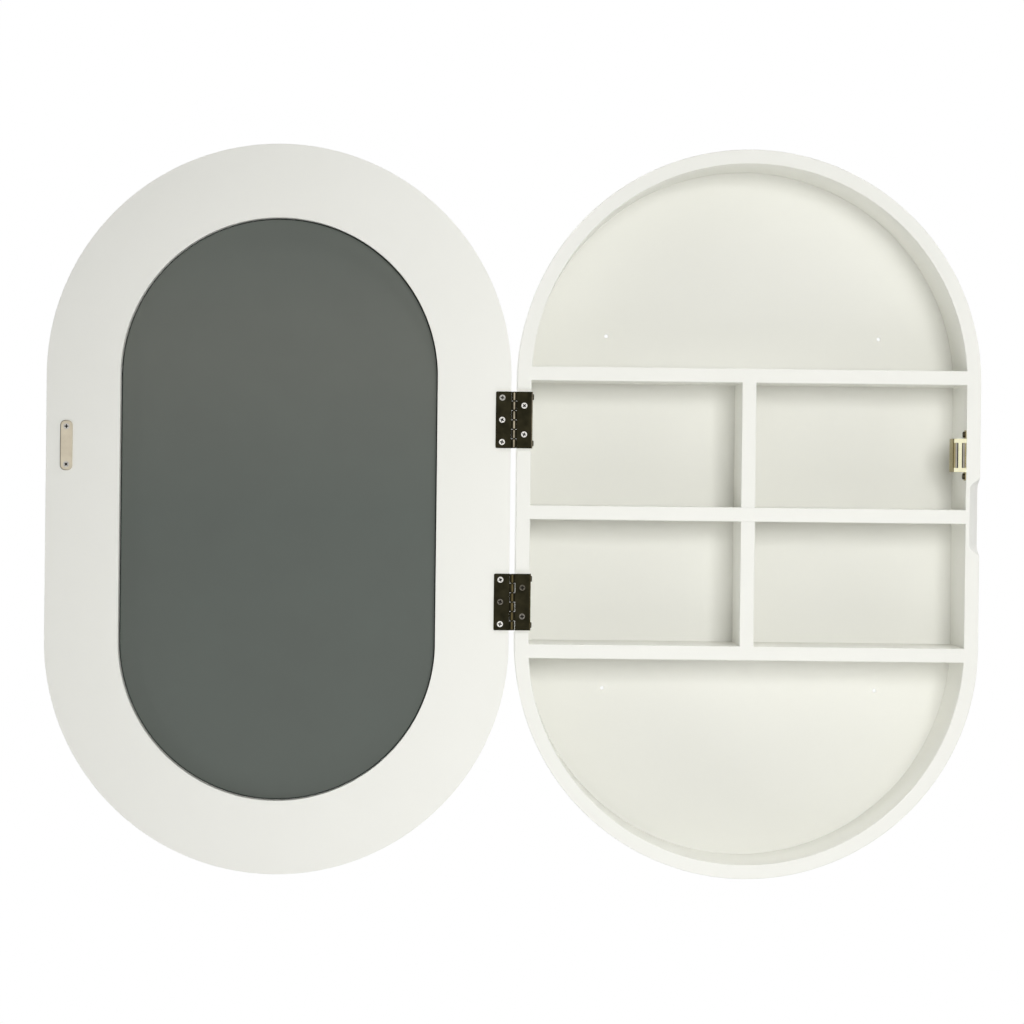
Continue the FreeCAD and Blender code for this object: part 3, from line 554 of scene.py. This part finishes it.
def end_tree(tree, geometry, finish):
    """Rounds the shading over gentle edges, then ends the tree in plain geometry with its finish."""
    inputs = {"Geometry": geometry, "Shade Smooth": True}
    smooth = add(tree, "GeometryNodeSetShadeSmooth", inputs, domain="FACE")
    bend = add(tree, "GeometryNodeInputMeshEdgeAngle").outputs["Unsigned Angle"]
    crease = add(tree, "FunctionNodeCompare", {"A": bend, "B": CREASE_ANGLE}, operation="GREATER_THAN")
    inputs = {
        "Geometry": smooth.outputs["Geometry"],
        "Selection": crease.outputs["Result"],
        "Shade Smooth": False,
    }
    sharp = add(tree, "GeometryNodeSetShadeSmooth", inputs, domain="EDGE")
    plain = add(tree, "GeometryNodeRealizeInstances", {"Geometry": sharp.outputs["Geometry"]})
    inputs = {"Geometry": plain.outputs["Geometry"], "Material": finish}
    painted = add(tree, "GeometryNodeSetMaterial", inputs)
    output = add(tree, "NodeGroupOutput")
    tree.links.new(painted.outputs["Geometry"], output.inputs["Geometry"])


def point_axes(tree):
    """The coordinates of the geometry's own points or faces."""
    return axes(tree, add(tree, "GeometryNodeInputPosition").outputs["Position"])


def moved(tree, geometry, **change):
    """Sets a geometry's points to a new Position, or shifts them by an Offset."""
    return add(tree, "GeometryNodeSetPosition", {"Geometry": geometry, **change}).outputs["Geometry"]


def swept(tree, path, normal, section):
    """Draws a section, made of mesh edges, along a path that keeps a fixed normal."""
    inputs = {"Curve": path, "Normal": normal}
    steady = add(tree, "GeometryNodeSetCurveNormal", inputs, mode="FREE").outputs["Curve"]
    outline = add(tree, "GeometryNodeMeshToCurve", {"Mesh": section}).outputs["Curve"]
    return add(tree, "GeometryNodeCurveToMesh", {"Curve": steady, "Profile Curve": outline}).outputs["Mesh"]


def pill_ring_tree():
    """Draws a section round a pill path. The section's X is its depth and its Y its distance inwards."""
    tree, given = start_tree("pill_ring", ("Half Width", "Half Straight", "Middle X", "Rear Y"), ("Steps",))
    inputs = {"Resolution": given["Steps"], "Radius": given["Half Width"]}
    circle = add(tree, "GeometryNodeCurvePrimitiveCircle", inputs)
    inputs = {"Geometry": circle.outputs["Curve"], "Rotation": (math.pi / 2, 0, 0)}
    upright = add(tree, "GeometryNodeTransform", inputs)
    side = calc(tree, "SIGN", point_axes(tree)["Z"])
    lift = calc(tree, "MULTIPLY", side, given["Half Straight"])
    shift = add(tree, "ShaderNodeCombineXYZ", {"X": given["Middle X"], "Y": given["Rear Y"], "Z": lift})
    path = moved(tree, upright.outputs["Geometry"], Offset=shift.outputs["Vector"])
    ring = swept(tree, path, (0.0, 1.0, 0.0), given["Geometry"])
    end_tree(tree, ring, given["Finish"])
    return tree


def screw_outline(tree, given):
    """Half the outline of a screw, as its radius and height at each station from the head to the tip."""
    stations = [(0.0, given["Head Rise"])]
    for step in range(HEAD_ROUND_STEPS + 1):
        angle = step / HEAD_ROUND_STEPS * math.pi / 2
        inwards = calc(tree, "MULTIPLY", given["Head Round"], 1 - math.sin(angle))
        down = calc(tree, "MULTIPLY", given["Head Round"], 1 - math.cos(angle))
        radius = calc(tree, "SUBTRACT", given["Head Radius"], inwards)
        stations.append((radius, calc(tree, "SUBTRACT", given["Head Rise"], down)))
    rim_end = calc(tree, "SUBTRACT", given["Head Rise"], given["Head Round"])
    neck = calc(tree, "MULTIPLY", given["Sink"], -1.0)
    point = calc(tree, "MULTIPLY", given["Length"], -1.0)
    stations.append((given["Head Radius"], calc(tree, "MINIMUM", rim_end, 0.0)))
    stations.append((given["Shank Radius"], neck))
    stations.append((given["Shank Radius"], calc(tree, "ADD", point, given["Tip Length"])))
    stations.append((given["Tip Radius"], point))
    stations.append((0.0, point))
    return stations


def turned_screw(tree, given):
    """Turns the outline round the screw's axis. The section's X is the height, its Y the way out."""
    stations = screw_outline(tree, given)
    line = add(tree, "GeometryNodeMeshLine", {"Count": len(stations)}).outputs["Mesh"]
    number = add(tree, "GeometryNodeInputIndex").outputs["Index"]
    pick = add(tree, "GeometryNodeIndexSwitch", {"Index": number}, data_type="VECTOR")
    while len(pick.index_switch_items) < len(stations):
        pick.index_switch_items.new()
    for index, (radius, height) in enumerate(stations):
        offset = calc(tree, "SUBTRACT", radius, given["Shank Radius"])
        spot = add(tree, "ShaderNodeCombineXYZ", {"X": height, "Y": offset})
        feed(tree, pick.inputs[str(index)], spot.outputs["Vector"])
    section = moved(tree, line, Position=pick.outputs["Output"])
    inputs = {"Resolution": given["Sides"], "Radius": given["Shank Radius"]}
    circle = add(tree, "GeometryNodeCurvePrimitiveCircle", inputs)
    turned = swept(tree, circle.outputs["Curve"], (0.0, 0.0, 1.0), section)
    inputs = {"Geometry": turned, "Distance": MERGE_DISTANCE}
    return add(tree, "GeometryNodeMergeByDistance", inputs).outputs["Geometry"]


def recess_arms(tree, given):
    """Two crossed bars at the top of the head, narrower towards the bottom."""
    depth = calc(tree, "MULTIPLY", given["Recess Depth"], 2.0)
    reach = calc(tree, "MULTIPLY", given["Recess Reach"], 2.0)
    arms = []
    for along, across in ((reach, given["Recess Width"]), (given["Recess Width"], reach)):
        size = add(tree, "ShaderNodeCombineXYZ", {"X": along, "Y": across, "Z": depth})
        bar = add(tree, "GeometryNodeMeshCube", {"Size": size.outputs["Vector"]})
        place = point_axes(tree)
        inputs = {
            "Value": place["Z"],
            "From Min": calc(tree, "MULTIPLY", given["Recess Depth"], -1.0),
            "From Max": given["Recess Depth"],
            "To Min": 1.0 - RECESS_TAPER,
            "To Max": 1.0 + RECESS_TAPER,
        }
        narrow = add(tree, "ShaderNodeMapRange", inputs).outputs["Result"]
        inputs = {
            "X": calc(tree, "MULTIPLY", place["X"], narrow),
            "Y": calc(tree, "MULTIPLY", place["Y"], narrow),
            "Z": calc(tree, "ADD", place["Z"], given["Head Rise"]),
        }
        tapered = add(tree, "ShaderNodeCombineXYZ", inputs)
        arms.append(moved(tree, bar.outputs["Mesh"], Position=tapered.outputs["Vector"]))
    return arms


def in_recess(tree, given):
    """One on the faces of the driver recess, none elsewhere."""
    place = point_axes(tree)
    sunk = calc(tree, "LESS_THAN", place["Z"], calc(tree, "SUBTRACT", given["Head Rise"], RECESS_RIM))
    # The mask for the recess's painted shade reaches a little below its floor
    bottom = calc(tree, "MULTIPLY", given["Recess Depth"], -RECESS_SHADE_DEPTHS)
    high = calc(tree, "GREATER_THAN", place["Z"], calc(tree, "ADD", given["Head Rise"], bottom))
    squares = [calc(tree, "POWER", place[name], 2.0) for name in ("X", "Y")]
    from_axis = calc(tree, "SQRT", calc(tree, "ADD", squares[0], squares[1]))
    inside = calc(tree, "LESS_THAN", from_axis, given["Recess Reach"])
    return calc(tree, "MULTIPLY", calc(tree, "MULTIPLY", sunk, high), inside)


def set_on_seats(tree, given, screw):
    """One screw on each seat, turned to where the seat faces and then by chance round its axis."""
    facing = add(tree, "GeometryNodeInputNamedAttribute", {"Name": "facing"}, data_type="FLOAT_VECTOR")
    inputs = {"Vector": facing.outputs["Attribute"]}
    upright = add(tree, "FunctionNodeAlignRotationToVector", inputs, axis="Z")
    inputs = {"Max": math.pi / 2, "Seed": given["Seed"]}
    turn = add(tree, "FunctionNodeRandomValue", inputs, data_type="FLOAT")
    inputs = {"Axis": (0, 0, 1), "Angle": turn.outputs["Value"]}
    spin = add(tree, "FunctionNodeAxisAngleToRotation", inputs)
    inputs = {"Rotation": upright.outputs["Rotation"], "Rotate By": spin.outputs["Rotation"]}
    turned = add(tree, "FunctionNodeRotateRotation", inputs, rotation_space="LOCAL")
    inputs = {"Points": given["Geometry"], "Instance": screw, "Rotation": turned.outputs["Rotation"]}
    row = add(tree, "GeometryNodeInstanceOnPoints", inputs)
    plain = add(tree, "GeometryNodeRealizeInstances", {"Geometry": row.outputs["Instances"]})
    return plain.outputs["Geometry"]


def screw_tree():
    """Turns a screw from its outline, cuts a tapered cross in its head and sets one on each seat."""
    sizes = (
        "Head Radius",
        "Head Rise",
        "Head Round",
        "Sink",
        "Shank Radius",
        "Length",
        "Tip Length",
        "Tip Radius",
        "Recess Reach",
        "Recess Width",
        "Recess Depth",
    )
    tree, given = start_tree("screw_row", sizes, ("Sides", "Seed"))
    inputs = {"Mesh 1": turned_screw(tree, given)}
    cut = add(tree, "GeometryNodeMeshBoolean", inputs, operation="DIFFERENCE", solver="EXACT")
    for arm in recess_arms(tree, given):
        tree.links.new(arm, cut.inputs["Mesh 2"])
    inputs = {"Geometry": cut.outputs["Mesh"], "Name": "recess", "Value": in_recess(tree, given)}
    marked = add(tree, "GeometryNodeStoreNamedAttribute", inputs, data_type="FLOAT", domain="FACE")
    end_tree(tree, set_on_seats(tree, given, marked.outputs["Geometry"]), given["Finish"])
    return tree


def grow(name, points, edges, tree, settings, facing=(), tarnish=()):
    """Runs a tree on a few points and edges, and keeps the result as a plain mesh."""
    mesh = bpy.data.meshes.new(name)
    mesh.from_pydata(points, edges, [])
    if facing:
        directions = mesh.attributes.new("facing", "FLOAT_VECTOR", "POINT")
        directions.data.foreach_set("vector", facing * len(points))
        amounts = mesh.attributes.new("tarnish", "FLOAT", "POINT")
        amounts.data.foreach_set("value", tarnish)
    piece = bpy.data.objects.new(name, mesh)
    bpy.context.scene.collection.objects.link(piece)
    modifier = piece.modifiers.new(tree.name, "NODES")
    modifier.node_group = tree
    sockets = {item.name: item.identifier for item in tree.interface.items_tree if item.in_out == "INPUT"}
    for label, value in settings.items():
        modifier[sockets[label]] = value
    depsgraph = bpy.context.evaluated_depsgraph_get()
    plain = bpy.data.meshes.new_from_object(piece.evaluated_get(depsgraph), depsgraph=depsgraph)
    piece.modifiers.clear()
    piece.data = plain
    bpy.data.meshes.remove(mesh)
    plain.name = name
    return piece


# Door ring
def rounded_section(corners):
    """Points of a closed outline, with each corner rounded by its own radius."""
    points = []
    for number, (corner, radius) in enumerate(corners):
        here = Vector(corner)
        before = Vector(corners[number - 1][0])
        after = Vector(corners[(number + 1) % len(corners)][0])
        if radius == 0:
            points.append(here)
            continue
        back = (before - here).normalized()
        ahead = (after - here).normalized()
        centre = here + (back + ahead) * radius
        for step in range(CORNER_STEPS + 1):
            angle = step / CORNER_STEPS * math.pi / 2
            points.append(centre - ahead * radius * math.cos(angle) - back * radius * math.sin(angle))
    return points


def door_ring(tree):
    """Stands for the door frame, with the same section and a smoother outline."""
    low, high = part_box("door_frame")
    half_width = (high.x - low.x) / 2
    thickness = high.y - low.y
    lip_inset = DOOR_RIM_WIDTH + DOOR_LIP_WIDTH
    lip_back = thickness - DOOR_LIP_THICKNESS
    section = rounded_section(
        [
            ((0.0, 0.0), DOOR_REAR_ROUND),
            ((0.0, DOOR_RIM_WIDTH), DOOR_REAR_ROUND),
            ((lip_back, DOOR_RIM_WIDTH), 0),
            ((lip_back, lip_inset), 0),
            ((thickness, lip_inset), DOOR_LIP_ROUND),
            ((thickness, 0.0), DOOR_FRONT_ROUND),
        ]
    )
    points = [(point.x, point.y, 0.0) for point in section]
    edges = [(number, (number + 1) % len(points)) for number in range(len(points))]
    settings = {
        "Half Width": half_width,
        "Half Straight": (high.z - low.z) / 2 - half_width,
        "Middle X": (low.x + high.x) / 2,
        "Rear Y": low.y,
        "Steps": RING_STEPS,
        "Finish": FINISHES["painted_board"],
    }
    piece = grow("door_ring", points, edges, tree, settings)
    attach(piece, "door")
    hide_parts("door_frame")


# Hinge leaves
def snug_leaf(name, node, body, notch_reach):
    """Stands for a hinge leaf, with notches that come closer to the other leaf's knuckles."""
    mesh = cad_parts[node].data.copy()
    mesh.name = name
    mesh.materials.clear()
    mesh.materials.append(FINISHES["dark_bronze"])
    snug_x = HINGE_AXIS_X + math.copysign(SNUG_NOTCH_REACH, notch_reach)
    for vertex in mesh.vertices:
        if abs(vertex.co.x - HINGE_AXIS_X - notch_reach) < NOTCH_TOLERANCE:
            vertex.co.x = snug_x
    mesh.update()
    piece = bpy.data.objects.new(name, mesh)
    bpy.context.scene.collection.objects.link(piece)
    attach(piece, body)
    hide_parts(node)


# Screws
def screw_set(
    tree, name, seats, facing, body, nodes, slot, seed, length, rise=0.0, shank=SHANK_RADIUS, tarnish=0.0
):
    """Stands for the screws of some nodes. A head that doesn't rise above its seat is a sunk one."""
    flat = rise == 0.0
    settings = {
        "Head Radius": SCREW_HEAD_RADIUS,
        "Head Rise": rise,
        "Head Round": FLAT_HEAD_ROUND if flat else PAN_HEAD_ROUND,
        "Sink": FLAT_HEAD_SINK if flat else 0.0,
        "Shank Radius": shank,
        "Length": length,
        "Tip Length": TIP_LENGTH,
        "Tip Radius": TIP_RADIUS,
        "Recess Reach": RECESS_REACH,
        "Recess Width": RECESS_WIDTH,
        "Recess Depth": RECESS_DEPTH,
        "Sides": SCREW_SIDES,
        "Seed": seed,
        "Finish": FINISHES[slot],
    }
    amounts = tarnish if isinstance(tarnish, tuple) else (tarnish,) * len(seats)
    piece = grow(name, seats, [], tree, settings, facing, amounts)
    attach(piece, body)
    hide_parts(*nodes)


def seats_at(x, y, levels, steps):
    return [(x, y, level + step) for level in levels for step in steps]


def all_screws(tree):
    to_room = (0.0, -1.0, 0.0)
    to_wall = (0.0, 1.0, 0.0)
    to_right = (1.0, 0.0, 0.0)
    to_left = (-1.0, 0.0, 0.0)
    screw_set(
        tree,
        "door_hinge_screws",
        seats_at(DOOR_SCREW_X, PLATE_FACE_Y, HINGE_LEVELS, (-DOOR_SCREW_STEP, 0.0, DOOR_SCREW_STEP)),
        to_room,
        "door",
        ("upper_door_screws", "lower_door_screws"),
        "nickel_screw",
        seed=3,
        length=DOOR_SCREW_LENGTH,
        tarnish=DOOR_SCREW_TARNISH,
    )
    screw_set(
        tree,
        "strike_plate_screws",
        seats_at(STRIKE_SCREW_X, PLATE_FACE_Y, (CATCH_LEVEL,), (-STRIKE_SCREW_STEP, STRIKE_SCREW_STEP)),
        to_room,
        "door",
        ("strike_screws",),
        "nickel_screw",
        seed=5,
        length=DOOR_SCREW_LENGTH,
        tarnish=STRIKE_SCREW_TARNISH,
    )
    screw_set(
        tree,
        "wall_hinge_screws",
        seats_at(WALL_SCREW_X, FRONT_Y, HINGE_LEVELS, (-WALL_SCREW_STEP, WALL_SCREW_STEP)),
        to_room,
        "cabinet",
        ("upper_face_screws", "lower_face_screws"),
        "nickel_screw",
        seed=7,
        length=WALL_SCREW_LENGTH,
        tarnish=WALL_SCREW_TARNISH,
    )
    screw_set(
        tree,
        "rear_board_screws",
        [(x, 0.0, level) for level in SHELF_LEVELS for x in (-REAR_SCREW_STEP_X, REAR_SCREW_STEP_X)],
        to_wall,
        "cabinet",
        ("rear_panel_screws",),
        "nickel_screw",
        seed=11,
        length=REAR_SCREW_LENGTH,
        tarnish=REAR_SCREW_TARNISH,
    )
    screw_set(
        tree,
        "hinge_flange_screws",
        seats_at(FLANGE_FACE_X, FLANGE_SCREW_Y, HINGE_LEVELS, (-FLANGE_SCREW_STEP, FLANGE_SCREW_STEP)),
        to_right,
        "cabinet",
        ("upper_flange_screws", "lower_flange_screws"),
        "dark_screw",
        seed=13,
        length=FLANGE_SCREW_LENGTH,
        rise=FLANGE_HEAD_RISE,
    )
    screw_set(
        tree,
        "magnet_catch_screws",
        seats_at(CATCH_EAR_X, CATCH_SCREW_Y, (CATCH_LEVEL,), (-CATCH_SCREW_STEP, CATCH_SCREW_STEP)),
        to_left,
        "cabinet",
        ("catch_screws",),
        "dark_screw",
        seed=17,
        length=CATCH_SCREW_LENGTH,
        rise=CATCH_HEAD_RISE,
        shank=CATCH_SHANK_RADIUS,
    )


# Room
def seen_rays(tree):
    """One for what the camera sees, straight, mirrored or through glass."""
    rays = add(tree, "ShaderNodeLightPath").outputs
    seen = calc(tree, "MAXIMUM", rays["Is Camera Ray"], rays["Is Glossy Ray"])
    return calc(tree, "MAXIMUM", seen, rays["Is Transmission Ray"])


def pale_floor():
    """Pale disc that takes a soft shadow; part of its paleness is its own light."""
    mesh = bpy.data.meshes.new("floor")
    disc = bmesh.new()
    bmesh.ops.create_circle(disc, cap_ends=True, segments=FLOOR_SIDES, radius=FLOOR_RADIUS)
    disc.transform(Matrix.Translation((0.0, 0.0, FLOOR_LEVEL)))
    disc.to_mesh(mesh)
    disc.free()
    floor = bpy.data.objects.new("floor", mesh)
    bpy.context.scene.collection.objects.link(floor)
    material, tree, shader, spot = start_finish("floor")
    colour = shades(tree, noise(tree, spot, scale=1.5), (0.84, 0.84, 0.83), (0.87, 0.87, 0.86))
    coat(tree, shader, colour, FLOOR_ROUGHNESS)
    surface = shader.outputs["BSDF"].links[0].to_socket
    glow = add(tree, "ShaderNodeEmission", {"Color": WHITE, "Strength": 1.0})
    paleness = calc(tree, "MULTIPLY", seen_rays(tree), FLOOR_PALENESS)
    inputs = {0: paleness, 1: shader.outputs["BSDF"], 2: glow.outputs["Emission"]}
    mix = add(tree, "ShaderNodeMixShader", inputs)
    tree.links.new(mix.outputs["Shader"], surface)
    mesh.materials.append(material)


def white_room():
    """White to the camera and in reflections; an even, plain light on the object."""
    world = bpy.data.worlds.new("room")
    bpy.context.scene.world = world
    world.use_nodes = True
    tree = world.node_tree
    tree.nodes.clear()
    lit = add(tree, "ShaderNodeBackground", {"Color": WHITE, "Strength": ROOM_LIGHT})
    white = add(tree, "ShaderNodeBackground", {"Color": WHITE, "Strength": 1.0})
    inputs = {0: seen_rays(tree), 1: lit.outputs["Background"], 2: white.outputs["Background"]}
    mix = add(tree, "ShaderNodeMixShader", inputs)
    output = add(tree, "ShaderNodeOutputWorld")
    tree.links.new(mix.outputs["Shader"], output.inputs["Surface"])


def studio_lamps():
    """Square lamps that light the object but don't show in its reflections."""
    for name, (place, target, size, spread, power) in LAMPS.items():
        light = bpy.data.lights.new(name, "AREA")
        light.shape = "SQUARE"
        light.size = size
        light.spread = math.radians(spread)
        light.energy = power
        lamp = bpy.data.objects.new(name, light)
        lamp.location = place
        lamp.visible_glossy = False
        aim = Vector(target) - Vector(place)
        lamp.rotation_euler = aim.to_track_quat("-Z", "Y").to_euler()
        bpy.context.scene.collection.objects.link(lamp)


def photo_camera():
    data = bpy.data.cameras.new("camera")
    data.lens = CAMERA_LENS
    camera = bpy.data.objects.new("camera", data)
    camera.location = CAMERA_PLACE
    camera.rotation_euler = [math.radians(angle) for angle in CAMERA_TURN]
    bpy.context.scene.collection.objects.link(camera)
    bpy.context.scene.camera = camera


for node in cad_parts.values():
    for slot in node.material_slots:
        slot.material = FINISHES[slot.material.name]
door_ring(pill_ring_tree())
snug_leaf("snug_upper_door_leaf", "upper_door_leaf", "door", DOOR_NOTCH_REACH)
snug_leaf("snug_lower_door_leaf", "lower_door_leaf", "door", DOOR_NOTCH_REACH)
snug_leaf("snug_upper_wall_leaf", "upper_cabinet_leaf", "cabinet", WALL_NOTCH_REACH)
all_screws(screw_tree())
pale_floor()
white_room()
studio_lamps()
photo_camera()
bpy.context.scene.view_settings.view_transform = "Standard"
